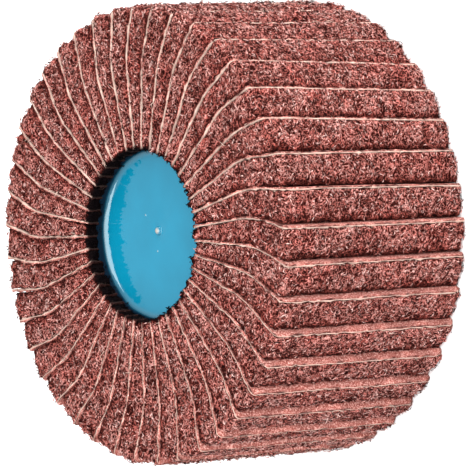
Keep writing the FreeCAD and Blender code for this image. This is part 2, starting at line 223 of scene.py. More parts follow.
def station_wave(sizes, station, number, along, level):
    """Sideways wave of one cloth flap, in mm: still at the root, freer towards the tip.

    Three slow sines in along and level, seeded by the flap's number, and a skew from front to back
    that is greatest at one place round the wheel."""
    rng = np.random.default_rng(WAVE_SEED + number)
    free = np.clip(along * 1.6, 0, 1) ** 1.2
    wave = np.zeros(np.broadcast(along, level).shape)
    for turns_along, turns_level, height in ((1.3, 0.5, 0.6), (2.6, 1.6, 0.22), (5.2, 3.4, 0.1)):
        phases = rng.uniform(0, 2 * np.pi, 2)
        wave = wave + height * np.sin(2 * np.pi * turns_along * along + phases[0]) * np.cos(
            2 * np.pi * turns_level * level / in_mm(sizes, "width") + phases[1])
    skew = sizes.skew * math.exp(-(wrapped(station - sizes.skew_place) / SKEW_SPREAD) ** 2)
    depth = 1 - level / in_mm(sizes, "width")
    skewed = skew * depth * along**1.3 * in_mm(sizes, "web_high")
    return in_mm(sizes, "cloth_wave") * free * wave - skewed


def in_ring(station, x, y, wave, level):
    """A station's x, y and level as points of the wheel. wave is added ahead of the flap."""
    y = y + wave
    cos, sin = math.cos(station), math.sin(station)
    return np.stack([x * cos - y * sin, x * sin + y * cos, np.broadcast_to(level, x.shape)], axis=-1)


def outline_loop(width, spacing, reach, corner):
    """Closed path round a flap's outline: front edge outwards, tip, back edge inwards, root.

    Gives along (0 to 1) and level as arrays. The outer corners are quarter circles of radius corner."""
    cut = corner / reach
    steps = int(reach / spacing)
    bend = np.linspace(0, np.pi / 2, 5)[1:-1]
    front = np.linspace(0, 1 - cut, steps)
    tip = np.linspace(width - corner, corner, int(width / spacing))
    round_along = 1 - cut + cut * np.sin(bend)
    round_level = width - corner + corner * np.cos(bend)
    root = width * ROOT_STEPS
    along = np.concatenate([
        front, round_along, np.ones(len(tip)), round_along[::-1], front[::-1], np.zeros(len(root)),
    ])
    level = np.concatenate([
        np.full(steps, width), round_level, tip, width - round_level[::-1], np.zeros(steps), root,
    ])
    return along, level


def shell_grid(along, level, width, rings, across):
    """A flap's skin as a grid of along, level and t, one row for each step round the outline.

    Columns run from the middle of the face behind (t = 0) out to the outline, across the thickness
    (t from 0 to 1) and back in to the middle of the face ahead. A ring k is the outline drawn in to
    (1 - k) of its size, so both ends close in a pole."""
    inset = np.concatenate([rings[::-1], np.zeros(len(across)), rings])
    t = np.concatenate([np.zeros(len(rings)), across, np.ones(len(rings))])
    centre = np.array([0.5, width / 2])
    grid_along = centre[0] + (along[:, None] - centre[0]) * (1 - inset)
    grid_level = centre[1] + (level[:, None] - centre[1]) * (1 - inset)
    return grid_along, grid_level, np.broadcast_to(t, grid_along.shape)


def grid_faces(rows, columns):
    """Quads of a grid that closes on itself from its last row to its first.

    They face the way of the cross product of the rows' direction and the columns'."""
    row, column = np.meshgrid(np.arange(rows), np.arange(columns - 1), indexing="ij")
    here = row * columns + column
    below = ((row + 1) % rows) * columns + column
    return np.stack([here, below, below + 1, here + 1], axis=-1).reshape(-1, 4)


def grid_normals(points):
    """Outward normals of a closed grid of points: the cross product of its two directions."""
    along_rows = np.roll(points, -1, axis=0) - np.roll(points, 1, axis=0)
    along_columns = np.gradient(points, axis=1)
    return unit(np.cross(along_rows, along_columns))


def close_poles(points, quads):
    """Add a vertex at each pole of a closed grid, with a fan of triangles to it."""
    rows, columns = points.shape[:2]
    flat = points.reshape(-1, 3)
    poles = np.stack([points[:, 0].mean(axis=0), points[:, -1].mean(axis=0)])
    ring = np.arange(rows) * columns
    following = np.roll(ring, -1)
    first = np.stack([np.full(rows, len(flat)), following, ring], axis=-1)
    ring, following = ring + columns - 1, following + columns - 1
    last = np.stack([np.full(rows, len(flat) + 1), ring, following], axis=-1)
    return np.concatenate([flat, poles]), quads, np.concatenate([first, last])


def strands(middle, way, bow, lengths, radii):
    """Thin bent fibres: two tips and a three-sided ring at the bowed middle, 5 points and 6 faces each.

    p(u) = middle + (u - 1/2) length way + 4 u (1 - u) bow, for u = 0, 1/2 and 1."""
    half = way * lengths[:, None] / 2
    side = unit(np.cross(way, bow + 1e-6))
    other = np.cross(way, side)
    turns = np.arange(3) * 2 * np.pi / 3
    ring = np.cos(turns)[None, :, None] * side[:, None] + np.sin(turns)[None, :, None] * other[:, None]
    ring = (middle + bow)[:, None] + ring * radii[:, None, None]
    points = np.concatenate([(middle - half)[:, None], ring, (middle + half)[:, None]], axis=1)
    first = np.arange(len(middle))[:, None, None] * 5
    cap = np.array([[0, 2, 1], [0, 3, 2], [0, 1, 3], [4, 1, 2], [4, 2, 3], [4, 3, 1]])
    return points.reshape(-1, 3), (first + cap).reshape(-1, 3)


def scatter(points, normals, rng, count, columns):
    """Random places on a grid's skin, even by area, within a range of columns.

    Gives place, normal and the row and the fractional column each lies at."""
    first, last = columns
    here, right = points[:, first:last], points[:, first + 1:last + 1]
    below = np.roll(points, -1, axis=0)[:, first:last]
    area = np.linalg.norm(np.cross(right - here, below - here), axis=-1)
    chance = area.ravel() / area.sum()
    cells = rng.choice(area.size, size=count, p=chance)
    row, column = np.unravel_index(cells, area.shape)
    down, across = rng.uniform(size=(2, count, 1))
    place = here[row, column]
    place = place + across * (right[row, column] - place) + down * (below[row, column] - place)
    return place, normals[row, column + first], row, column + first + across[:, 0]


def random_ways(rng, normals, lift):
    """Random directions along a surface, raised from it by about lift."""
    ways = rng.normal(size=normals.shape)
    ways -= (ways * normals).sum(axis=1)[:, None] * normals
    return unit(unit(ways) + normals * rng.normal(0, lift, (len(normals), 1)))


def make_mesh(name, points, quads, triangles, attributes, material):
    """A mesh from points in mm. attributes are numbers at the points, by name."""
    mesh = bpy.data.meshes.new(name)
    mesh.vertices.add(len(points))
    mesh.vertices.foreach_set("co", (points * MM).astype(np.float32).ravel())
    corners = np.concatenate([quads.ravel(), triangles.ravel()]).astype(np.int32)
    starts = np.concatenate([np.arange(len(quads)) * 4, len(quads) * 4 + np.arange(len(triangles)) * 3])
    mesh.loops.add(len(corners))
    mesh.loops.foreach_set("vertex_index", corners)
    mesh.polygons.add(len(starts))
    mesh.polygons.foreach_set("loop_start", starts.astype(np.int32))
    mesh.polygons.foreach_set("use_smooth", np.ones(len(starts), dtype=bool))
    mesh.update(calc_edges=True)
    for title, values in attributes.items():
        attribute = mesh.attributes.new(title, "FLOAT", "POINT")
        attribute.data.foreach_set("value", np.asarray(values, dtype=np.float32))
    mesh.materials.append(material)
    if mesh.validate():
        raise RuntimeError(f"{name} had broken faces")
    return mesh


def add_piece(name, mesh, slot, *nodes):
    """Show a mesh in place of the nodes it stands for."""
    piece = bpy.data.objects.new(name, mesh)
    bpy.context.scene.collection.objects.link(piece)
    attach(piece, "root")
    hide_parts(*nodes)


def fill(tree, node, values):
    """Give a node its values by name: its ramp's stops, its own settings or its sockets' values.

    i0 is the socket numbered 0. A value that is itself a socket is linked to it."""
    for key, value in values.items():
        if key == "stops":
            elements = node.color_ramp.elements
            while len(elements) < len(value):
                elements.new(0.5)
            for element, (position, shade) in zip(elements, value):
                element.position = position
                element.color = shade
            continue
        if hasattr(node, key) and key not in node.inputs:
            setattr(node, key, value)
            continue
        socket = node.inputs[int(key[1:])] if key[1:].isdigit() else node.inputs[key]
        if isinstance(value, bpy.types.NodeSocket):
            tree.links.new(value, socket)
        else:
            socket.default_value = value


def add_node(tree, kind, place, **values):
    """Add a shader node with its settings and links, at a place counted in nodes."""
    node = tree.nodes.new("ShaderNode" + kind)
    node.location = (place[0] * 220, place[1] * 260)
    fill(tree, node, values)
    return node


def per_mm(size):
    """Scale of a pattern whose features are about this many mm, in object coordinates in metres."""
    return 1000 / size


def grey(level):
    return (level, level, level, 1.0)


def new_material(name):
    """An empty material with its shader, output and object coordinates."""
    material = bpy.data.materials.new(name)
    material.use_nodes = True
    tree = material.node_tree
    tree.nodes.clear()
    shader = add_node(tree, "BsdfPrincipled", (6, 0))
    add_node(tree, "OutputMaterial", (7, 0), Surface=shader.outputs[0])
    coordinates = add_node(tree, "TexCoord", (-5, 0)).outputs["Object"]
    return material, tree, shader, coordinates


def add_curls(tree, place, coordinates, size, shift):
    """Curly lines: 1 where a noise field is near its middle value, falling to 0 on both sides."""
    column, row = place
    moved = add_node(tree, "VectorMath", place, operation="ADD", i0=coordinates, i1=shift).outputs[0]
    field = add_node(
        tree, "TexNoise", (column + 1, row), Vector=moved, Scale=per_mm(size), Detail=1.0, Roughness=0.5,
    ).outputs["Fac"]
    return add_node(tree, "ValToRGB", (column + 2, row), i0=field, stops=[
        (0.44, grey(0)), (0.48, grey(0.7)), (0.5, grey(1)), (0.52, grey(0.7)), (0.56, grey(0)),
    ]).outputs["Color"]


def web_material(colours):
    """Airlaid nylon fibre web, sprayed with pigmented binder and fine grain.

    Dull, with dark pores between salmon fibres, paler where the fibres are rubbed bare. The pores'
    dark is painted shade of the web's depth, and the near black at the roots is soaked resin with
    painted shade of the recess. The curls and specks on the skin are a few times as coarse as real
    fibres and grain, so that they show."""
    material, tree, shader, coordinates = new_material("airlaid_nylon_web_with_grain")
    tone = add_node(tree, "Attribute", (-4, 1), attribute_name="tone").outputs["Fac"]
    skin = add_node(tree, "Attribute", (-4, 2), attribute_name="skin").outputs["Fac"]
    curls = add_curls(tree, (-5, 3), coordinates, 0.95, (0, 0, 0))
    more = add_curls(tree, (-5, 4), coordinates, 0.8, (0.31, 0.17, 0.53))
    tangle = add_node(
        tree, "Mix", (-2, 3), data_type="RGBA", blend_type="LIGHTEN", i0=1.0, i6=curls, i7=more,
    ).outputs[2]
    lines = add_node(tree, "Math", (-1, 3), operation="MULTIPLY", i0=tangle, i1=skin).outputs[0]
    lines = add_node(
        tree, "Math", (-1, 2), operation="MULTIPLY_ADD", i0=lines, i1=0.6, i2=tone,
    ).outputs[0]
    # The lowest tones are the soaked roots with painted shade, and the pores' painted shade in the web's
    # depth.
    shades = add_node(tree, "ValToRGB", (0, 1), i0=lines, stops=[
        (0.0, colours.soaked_and_shaded), (0.12, colours.pore_shade), (0.38, colours.web_dark), (0.66, colours.web_mid),
        (1.0, colours.web_pale),
    ]).outputs["Color"]
    thick = add_node(
        tree, "TexNoise", (-3, 0), Vector=coordinates, Scale=per_mm(6.0), Detail=2.0, Roughness=0.55,
    ).outputs["Fac"]
    patches = add_node(
        tree, "ValToRGB", (-2, 0), i0=thick, stops=[(0.47, grey(0)), (0.66, grey(0.28))],
    ).outputs["Color"]
    red = add_node(
        tree, "Mix", (1, 1), data_type="RGBA", blend_type="OVERLAY", i0=patches, i6=shades,
        i7=colours.web_red,
    ).outputs[2]
    grit = add_node(
        tree, "TexNoise", (-3, -1), Vector=coordinates, Scale=per_mm(0.45), Detail=2.0, Roughness=0.7,
    ).outputs["Fac"]
    specks = add_node(
        tree, "ValToRGB", (-2, -1), i0=grit, stops=[(0.35, grey(0.72)), (0.65, (1.12, 1.08, 1.06, 1))],
    ).outputs["Color"]
    shade = add_node(
        tree, "Mix", (3, 1), data_type="RGBA", blend_type="MULTIPLY", i0=1.0, i6=red, i7=specks,
    ).outputs[2]
    rough = add_node(
        tree, "TexNoise", (-3, -2), Vector=coordinates, Scale=per_mm(0.3), Detail=2.0, Roughness=0.7,
    ).outputs["Fac"]
    fine = add_node(tree, "Bump", (4, -2), Strength=0.5, Distance=0.0001, Height=rough).outputs[0]
    relief = add_node(
        tree, "Bump", (5, -2), Strength=0.6, Distance=0.00025, Height=tangle, Normal=fine,
    ).outputs[0]
    fill(tree, shader, {
        "Base Color": shade, "Normal": relief, "Roughness": 0.82, "Specular IOR Level": 0.05,
    })
    return material


def cloth_material(colours):
    """Twilled cotton cloth coated with grain in red binder on one side.

    The cut backing shows as a pale matt line, the grain side as rough red-brown. The grain is about
    three times as coarse as the real one, so that it shows."""
    material, tree, shader, coordinates = new_material("grain_coated_cotton_cloth")
    backing = add_node(tree, "Attribute", (-4, 1), attribute_name="backing").outputs["Fac"]
    tone = add_node(tree, "Attribute", (-4, 2), attribute_name="tone").outputs["Fac"]
    grains = add_node(
        tree, "TexNoise", (-3, 0), Vector=coordinates, Scale=per_mm(0.35), Detail=2.0, Roughness=0.75,
    ).outputs["Fac"]
    grain = add_node(tree, "ValToRGB", (-1, 0), i0=grains, stops=[
        (0.32, linear("6A322C")), (0.5, colours.grain), (0.66, linear("D6A8A0")),
    ]).outputs["Color"]
    soiled = add_node(
        tree, "TexNoise", (-3, -1), Vector=coordinates, Scale=per_mm(2.2), Detail=3.0, Roughness=0.65,
    ).outputs["Fac"]
    pale = add_node(tree, "ValToRGB", (-1, -1), i0=soiled, stops=[
        (0.3, linear("947A70")), (0.5, colours.backing), (0.7, linear("B29C92")),
    ]).outputs["Color"]
    shade = add_node(tree, "Mix", (1, 1), data_type="RGBA", i0=backing, i6=grain, i7=pale).outputs[2]
    brightness = add_node(tree, "ValToRGB", (1, 2), i0=tone, stops=[
        (0.0, (0.05, 0.04, 0.04, 1)), (0.35, (0.8, 0.76, 0.74, 1)), (0.7, (1.0, 0.98, 0.96, 1)),
        (1.0, (1.3, 1.22, 1.18, 1)),
    ]).outputs["Color"]
    shade = add_node(
        tree, "Mix", (3, 1), data_type="RGBA", blend_type="MULTIPLY", i0=1.0, i6=shade, i7=brightness,
    ).outputs[2]
    relief = add_node(tree, "Bump", (4, -2), Strength=0.6, Distance=0.00012, Height=grains).outputs[0]
    fill(tree, shader, {
        "Base Color": shade, "Normal": relief, "Roughness": 0.85, "Specular IOR Level": 0.05,
    })
    return material


def resin_material(colours):
    """Pigmented cast epoxy, glossy as it cured against air.

    Even blue with a clear reflection, a little cloudy in its depth, and matt where the flaps' roots
    soak it up, with painted shade darkening it beside their walls. A bubble under its skin and the
    pinheads are pale: air under the skin, and a painted highlight."""
    material, tree, shader, coordinates = new_material("cast_blue_epoxy")
    edge = add_node(tree, "Attribute", (-4, 1), attribute_name="edge").outputs["Fac"]
    bubble = add_node(tree, "Attribute", (-4, 2), attribute_name="bubble").outputs["Fac"]
    cloud = add_node(
        tree, "TexNoise", (-3, 0), Vector=coordinates, Scale=per_mm(9.0), Detail=3.0, Roughness=0.5,
    ).outputs["Fac"]
    body = add_node(
        tree, "ValToRGB", (-1, 0), i0=cloud, stops=[(0.3, linear("04647E")), (0.7, colours.blue)],
    ).outputs["Color"]
    # Painted shade: the blue darkened beside the flaps' walls.
    shade = add_node(tree, "Mix", (1, 0), data_type="RGBA", i0=edge, i6=body, i7=colours.painted_edge_shade).outputs[2]
    # Pale over bubbles and pinheads: air under the skin, and a painted highlight.
    shade = add_node(
        tree, "Mix", (2, 0), data_type="RGBA", i0=bubble, i6=shade, i7=colours.froth_and_highlight,
    ).outputs[2]
    soaked_and_shaded = add_node(
        tree, "ValToRGB", (1, 2), i0=edge, stops=[(0.55, grey(0.03)), (0.8, grey(0.6))],
    ).outputs["Color"]
    shine = add_node(tree, "ValToRGB", (1, 3), i0=edge, stops=[
        (0.15, grey(0.5)), (0.3, grey(0.9)), (0.55, grey(0.9)), (0.8, grey(0.03)),
    ]).outputs["Color"]
    ripple = add_node(
        tree, "TexNoise", (-3, -1), Vector=coordinates, Scale=per_mm(5.0), Detail=2.0, Roughness=0.4,
    ).outputs["Fac"]
    relief = add_node(tree, "Bump", (4, -2), Strength=0.08, Distance=0.0003, Height=ripple).outputs[0]
    fill(tree, shader, {
        "Base Color": shade, "Roughness": soaked_and_shaded, "Specular IOR Level": shine, "Normal": relief,
        "Specular Tint": (0.85, 1.0, 1.0, 1), "IOR": 1.52,
    })
    return material


def steel_material(colours):
    """Turned free-cutting steel, oiled.

    Grey and bright in rings left by the tool, with darker stains. The rings are 0.22 mm wide, coarser
    than real ones, so that they show."""
    material, tree, shader, coordinates = new_material("turned_steel")
    parts = add_node(tree, "SeparateXYZ", (-4, 0), Vector=coordinates).outputs
    flat = add_node(tree, "CombineXYZ", (-4, -1), X=parts[0], Y=parts[1]).outputs[0]
    radius = add_node(tree, "VectorMath", (-3, -1), operation="LENGTH", i0=flat).outputs["Value"]
    rings = add_node(tree, "CombineXYZ", (-2, -1), X=radius, Y=parts[2]).outputs[0]
    marks = add_node(
        tree, "TexNoise", (-1, -1), Vector=rings, Scale=per_mm(0.22), Detail=2.0, Roughness=0.6,
    ).outputs["Fac"]
    stain = add_node(
        tree, "TexNoise", (-1, 0), Vector=coordinates, Scale=per_mm(6.0), Detail=4.0, Roughness=0.6,
    ).outputs["Fac"]
    shade = add_node(
        tree, "ValToRGB", (1, 0), i0=stain, stops=[(0.35, linear("77787A")), (0.65, colours.steel)],
    ).outputs["Color"]
    rough = add_node(
        tree, "ValToRGB", (1, -1), i0=marks, stops=[(0.3, grey(0.24)), (0.7, grey(0.42))],
    ).outputs["Color"]
    relief = add_node(tree, "Bump", (4, -2), Strength=0.3, Distance=0.00004, Height=marks).outputs[0]
    fill(tree, shader, {"Base Color": shade, "Roughness": rough, "Normal": relief, "Metallic": 1.0})
    return material


def nodes_named(start):
    """Names of the frame's nodes that begin with start, in order."""
    return sorted(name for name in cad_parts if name.startswith(start))


def read_stations(sizes):
    """Angle of the cloth flap behind each web flap, from the web flaps' root corners in the frame.

    They grow round the wheel, and the first comes again at the end, one turn later."""
    angles = []
    for name in nodes_named("web_flap_"):
        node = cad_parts[name]
        points = np.empty(len(node.data.vertices) * 3, dtype=np.float32)
        node.data.vertices.foreach_get("co", points)
        world = np.array(node.matrix_world)
        points = points.reshape(-1, 3).astype(float) @ world[:3, :3].T + world[:3, 3]
        root = points[np.hypot(points[:, 0], points[:, 1]) < sizes.root * 1.004]
        middle = math.atan2(root[:, 1].sum(), root[:, 0].sum())
        apart = wrapped(np.arctan2(root[:, 1], root[:, 0]) - middle)
        angles.append(middle + apart.min() - math.asin(sizes.face_offset / sizes.root))
    angles = np.unwrap(angles)
    return np.append(angles, angles[0] + 2 * np.pi)


def web_points(sizes, stations, number, along, level, t):
    """Points between the two faces of a web flap: (1 - t) of the face behind and t of the one ahead.

    Near the tip they stand out from the wheel's axis by swell * sin(pi t)."""
    offset = in_mm(sizes, "face_offset")
    behind, ahead = stations[number], stations[number + 1]
    following = (number + 1) % (len(stations) - 1)
    x, y = flap_face(sizes, offset, sizes.free_turn, in_mm(sizes, "web_low"), along)
    y = y - in_mm(sizes, "web_fill") * (0.3 + 0.7 * along**2)
    first = in_ring(behind, x, y, station_wave(sizes, behind, number, along, level), level)
    x, y = flap_face(sizes, -offset, sizes.bow_turn, in_mm(sizes, "web_high"), along)
    last = in_ring(ahead, x, y, station_wave(sizes, ahead, following, along, level), level)
    points = first + t[..., None] * (last - first)
    swell = in_mm(sizes, "web_swell") * np.sin(np.pi * t) * np.clip((along - 0.9) * 10, 0, 1) ** 2
    radius = np.linalg.norm(points[..., :2], axis=-1)
    points[..., :2] *= (1 + swell / radius)[..., None]
    return points


def crept(place):
    """How far the resin crept up the flaps there: 1 on one side of the wheel, falling to 0."""
    creep_place = bpy.context.scene.core_sizes.creep_place
    apart = wrapped(np.arctan2(place[..., 1], place[..., 0]) - creep_place)
    return np.exp(-((apart / CREEP_SPREAD) ** 2))


def dry_and_unshaded(sizes, place):
    """How free the flaps are of resin and of painted shade: 0 beside the core, 1 a little way out.

    The resin soaks 2.6 mm into the wheel's depth and 0.5 mm on its front, and begins 0.6 mm further
    out there where it crept up. The darkening this gives is partly the soaked roots and partly painted
    shade of the recess round the core, most on the side where the resin crept up."""
    out = np.hypot(place[..., 0], place[..., 1]) - in_mm(sizes, "inner") - 0.1
    front = np.clip((place[..., 2] - in_mm(sizes, "width") + 0.8) / 0.6, 0, 1)
    return np.clip((out - 0.6 * front * crept(place)) / (2.6 - 2.1 * front), 0, 1) ** 2


def cloth_points(sizes, station, number, along, level, t):
    """Points through a cloth flap's thickness, t = 0 on its backing and 1 on its grain."""
    half = in_mm(sizes, "cloth_half")
    tip = in_mm(sizes, "cloth_tip") + in_mm(sizes, "cloth_reach")
    wave = station_wave(sizes, station, number, along, level)
    x, y = flap_face(sizes, -half, sizes.bow_turn, tip, along)
    back = in_ring(station, x, y, wave, level)
    x, y = flap_face(sizes, half, sizes.bow_turn, tip, along)
    front = in_ring(station, x, y, wave, level)
    body = 1 - in_mm(sizes, "cloth_thin") / (2 * half)
    return back + body * t[..., None] * (front - back)


class FLAPWHEEL_OT_web(bpy.types.Operator):
    """Make the fibrous web flaps"""

    bl_idname = "flapwheel.web"
    bl_label = "Web flaps"

    def execute(self, context):
        sizes = context.scene.flap_sizes
        material = web_material(context.scene.flap_colours)
        stations = read_stations(sizes)
        width = in_mm(sizes, "width")
        reach = in_mm(sizes, "web_high") - in_mm(sizes, "inner")
        outline = outline_loop(width, 0.8, reach, in_mm(sizes, "web_corner"))
        rings = np.array([0.03, 0.1, 0.3])
        across = np.linspace(0, 1, 10)
        grid = shell_grid(*outline, width, rings, across)
        for number, name in enumerate(nodes_named("web_flap_")):
            rng = np.random.default_rng(WEB_SEED + number)
            points = web_points(sizes, stations, number, *grid)
            normals = grid_normals(points)
            relief = 0.7 * hills(points, rng, 2.4) + 0.5 * hills(points, rng, 6.0)
            inside = np.concatenate([0 * rings, np.sin(np.pi * across) ** 0.5, 0 * rings])
            raised = in_mm(sizes, "web_relief") * (relief * (0.35 + 0.65 * inside) - 0.2 * (1 - inside))
            points = points + normals * (raised - in_mm(sizes, "web_sink"))[..., None]
            points[..., 2] += self.tufts(sizes, rng, points)
            fibres, fibre_faces, fibre_tones = self.fibres(sizes, rng, points, normals, len(rings))
            skin, quads, fans = close_poles(points, grid_faces(*points.shape[:2]))
            # Painted shade beside the cloth behind, and the soaked roots' dark with painted shade of the
            # recess.
            dry_and_unshaded_share = dry_and_unshaded(sizes, points) * self.shade(grid[2], points, rng)
            # The skin's dark is painted shade of the web's depth, darker still in the relief's hollows.
            depth = np.clip(0.2 + 0.06 * relief, 0.12, 0.3) * dry_and_unshaded_share
            tones = np.concatenate([depth.ravel(), [0.1, 0.1], fibre_tones])
            on_skin = np.concatenate([dry_and_unshaded_share.ravel(), [1, 1], np.zeros(len(fibres))])
            everything = np.concatenate([skin, fibres])
            triangles = np.concatenate([fans, fibre_faces + len(skin)])
            values = {"tone": tones, "skin": on_skin}
            title = f"web_piece_{number + 1:02d}"
            mesh = make_mesh(title, everything, quads, triangles, values, material)
            add_piece(title, mesh, "web", name)
        return {"FINISHED"}

    def fibres(self, sizes, rng, points, normals, rings):
        """Bonded fibres that lie over the skin, and some that stand out of it.

        Beside the cloth they are short, so that they leave its edge in sight."""
        count = sizes.fibre_count
        columns = (rings - 1, points.shape[1] - rings)
        place, normal, row, column = scatter(points, normals, rng, count, columns)
        cells = points.shape[1] - 2 * rings - 1
        t = np.clip((column - rings) / cells, 0, 1)
        thickness = np.linalg.norm(points[row, -1 - rings] - points[row, rings], axis=1)
        to_cloth = np.minimum(t, 1 - t) * thickness
        radius = np.hypot(place[:, 0], place[:, 1])
        at_root = (radius < in_mm(sizes, "inner") + 0.9) & (place[:, 2] > in_mm(sizes, "width") / 2)
        standing = rng.uniform(size=count) < np.where(at_root, 0.6, 0.12)
        ways = random_ways(rng, normal, 0.25)
        ways[standing] = random_ways(rng, normal[standing], 1.1)
        lengths = np.minimum(rng.uniform(0.7, 1.7, count), 0.4 + 1.8 * to_cloth)
        radii = in_mm(sizes, "fibre_radius") * rng.uniform(0.75, 1.3, count)
        height = rng.uniform(0.0, 0.5, count) * np.clip(to_cloth / 0.9, 0.1, 1)
        bow = random_ways(rng, ways, 0.0) * (lengths * rng.uniform(0.08, 0.3, count))[:, None]
        middle = place + normal * height[:, None]
        fibres, faces = strands(middle, ways, bow, lengths, radii)
        dark = rng.uniform(size=count) + 0.12 * hills(place, rng, 4.0) < 0.46
        tone = np.where(dark, rng.uniform(0.15, 0.42, count), rng.uniform(0.6, 1.0, count))
        # Painted shade beside the cloth behind, and the soaked roots' dark with painted shade of the
        # recess.
        tone = tone * dry_and_unshaded(sizes, place) * self.shade(t, place, rng)
        return fibres, faces, np.repeat(tone, 5)

    @staticmethod
    def shade(t, place, rng):
        """Painted shade on the web beside the cloth behind it: uneven, 0.5 to 1."""
        return np.clip(0.5 + 0.5 * (t / 0.22 + 0.3 * hills(place, rng, 1.6)), 0.5, 1)

    @staticmethod
    def tufts(sizes, rng, points):
        """Uneven height of the web's front edge beside the core, where resin holds its fibres up."""
        out = np.hypot(points[..., 0], points[..., 1]) - in_mm(sizes, "inner")
        front = np.clip(points[..., 2] - in_mm(sizes, "width") + 1.6, 0, 1)
        return 0.35 * hills(points, rng, 1.0) * np.clip(1.2 - out, 0, 1) * front


class FLAPWHEEL_OT_cloth(bpy.types.Operator):
    """Make the abrasive cloth flaps, a few to a piece"""

    bl_idname = "flapwheel.cloth"
    bl_label = "Cloth flaps"

    def execute(self, context):
        sizes = context.scene.flap_sizes
        material = cloth_material(context.scene.flap_colours)
        stations = read_stations(sizes)[:-1]
        groups = nodes_named("cloth_flaps_")
        per_group = -(-len(stations) // len(groups))
        for group, name in enumerate(groups):
            numbers = range(group * per_group, min((group + 1) * per_group, len(stations)))
            parts = [self.flap(sizes, stations[number], number) for number in numbers]
            firsts = np.cumsum([0] + [len(part[0]) for part in parts[:-1]])
            points = np.concatenate([part[0] for part in parts])
            quads = np.concatenate([part[1] + first for part, first in zip(parts, firsts)])
            triangles = np.concatenate([part[2] + first for part, first in zip(parts, firsts)])
            values = {
                "backing": np.concatenate([part[3] for part in parts]),
                "tone": np.concatenate([part[4] for part in parts]),
            }
            title = f"cloth_pieces_{group + 1:02d}"
            mesh = make_mesh(title, points, quads, triangles, values, material)
            add_piece(title, mesh, "cloth", name)
        return {"FINISHED"}

    def flap(self, sizes, station, number):
        """Points, quads, triangles and the two attributes of one cloth flap with its frayed yarns."""
        rng = np.random.default_rng(CLOTH_SEED + number)
        width = in_mm(sizes, "width")
        reach = in_mm(sizes, "cloth_tip") - in_mm(sizes, "inner")
        outline = outline_loop(width, 1.2, reach, in_mm(sizes, "cloth_corner"))
        rings = np.array([0.03, 0.1, 0.25, 0.6])
        across = np.array([0.0, BACKING_SHARE - 0.04, BACKING_SHARE + 0.04, 1.0])
        along, level, t = shell_grid(*outline, width, rings, across)
        points = cloth_points(sizes, station, number, along, level, t)
        normals = grid_normals(points)
        cut = np.concatenate([np.zeros(len(rings)), np.ones(len(across)), np.zeros(len(rings))]) > 0
        ragged = 0.12 * hills(points, rng, 1.8) * cut
        points = points + normals * ragged[..., None]
        backing = t < BACKING_SHARE
        tone = np.clip(0.65 + 0.2 * hills(points, rng, 5.0), 0.35, 1)
        at_front = (level > width - 0.9) & (along < 0.95)
        # The grain's cut edge is darkened: its own dark grain, with painted shade of the gap beside it,
        # less on the front face.
        pores_and_gap_shade = np.clip(0.3 + 0.25 * hills(points, rng, 1.2), 0.05, 0.8)
        tone *= np.where(~backing & cut, np.where(at_front, 2 * pores_and_gap_shade, pores_and_gap_shade), 1.0)
        tone += np.where(backing & cut & (along > 0.97), 0.22, 0.0)
        # Darkened at the roots by soaked resin and by painted shade of the recess.
        tone = (tone * dry_and_unshaded(sizes, points)).ravel()
        yarns, yarn_faces, yarn_tones = self.yarns(sizes, rng, points, normals)
        skin, quads, fans = close_poles(points, grid_faces(*points.shape[:2]))
        everything = np.concatenate([skin, yarns])
        triangles = np.concatenate([fans, yarn_faces + len(skin)])
        backing = np.concatenate([backing.ravel(), [1, 0], np.ones(len(yarns))])
        tone = np.concatenate([tone, [0.5, 0.5], yarn_tones])
        return everything, quads, triangles, backing, tone

    def yarns(self, sizes, rng, points, normals):
        """Frayed yarns of the backing along its cut edge, and a few long loose threads."""
        count = sizes.fray_count
        # The columns across the backing's cut edge, after the four rings of the face behind.
        cut_edge = (4, 5)
        place, normal = scatter(points, normals, rng, count, cut_edge)[:2]
        ways = random_ways(rng, normal, 0.7)
        lengths = rng.uniform(0.5, 1.4, count)
        long = rng.uniform(size=count) < 0.05
        lengths[long] = rng.uniform(2.2, 3.4, long.sum())
        radii = np.where(long, 0.13, rng.uniform(0.06, 0.11, count))
        bow = random_ways(rng, ways, 0.0) * (lengths * 0.22)[:, None]
        yarns, faces = strands(place + normal * 0.12, ways, bow, lengths, radii)
        # Darkened at the roots by soaked resin and by painted shade of the recess.
        tone = rng.uniform(0.5, 1.0, count) * dry_and_unshaded(sizes, place)
        return yarns, faces, np.repeat(tone, 5)


def lathe(profile, turns):
    """A turned surface: p(a, k) = (r_k cos a, r_k sin a, z_k).

    Rows go round clockwise, and columns along the profile from the middle of the top."""
    angles = -np.arange(turns) * 2 * np.pi / turns
    radius, level = profile[:, 0], profile[:, 1]
    x = np.cos(angles)[:, None] * radius
    y = np.sin(angles)[:, None] * radius
    return np.stack([x, y, np.broadcast_to(level, x.shape)], axis=-1)


def polyline(corners, spacing):
    """A path through corners of radius and level, with points about spacing apart."""
    runs = []
    for begin, end in zip(corners, corners[1:]):
        begin, end = np.array(begin), np.array(end)
        steps = max(1, int(round(np.linalg.norm(end - begin) / spacing)))
        runs.append(begin + (end - begin) * (np.arange(steps) / steps)[:, None])
    return np.concatenate(runs + [np.array([corners[-1]])])


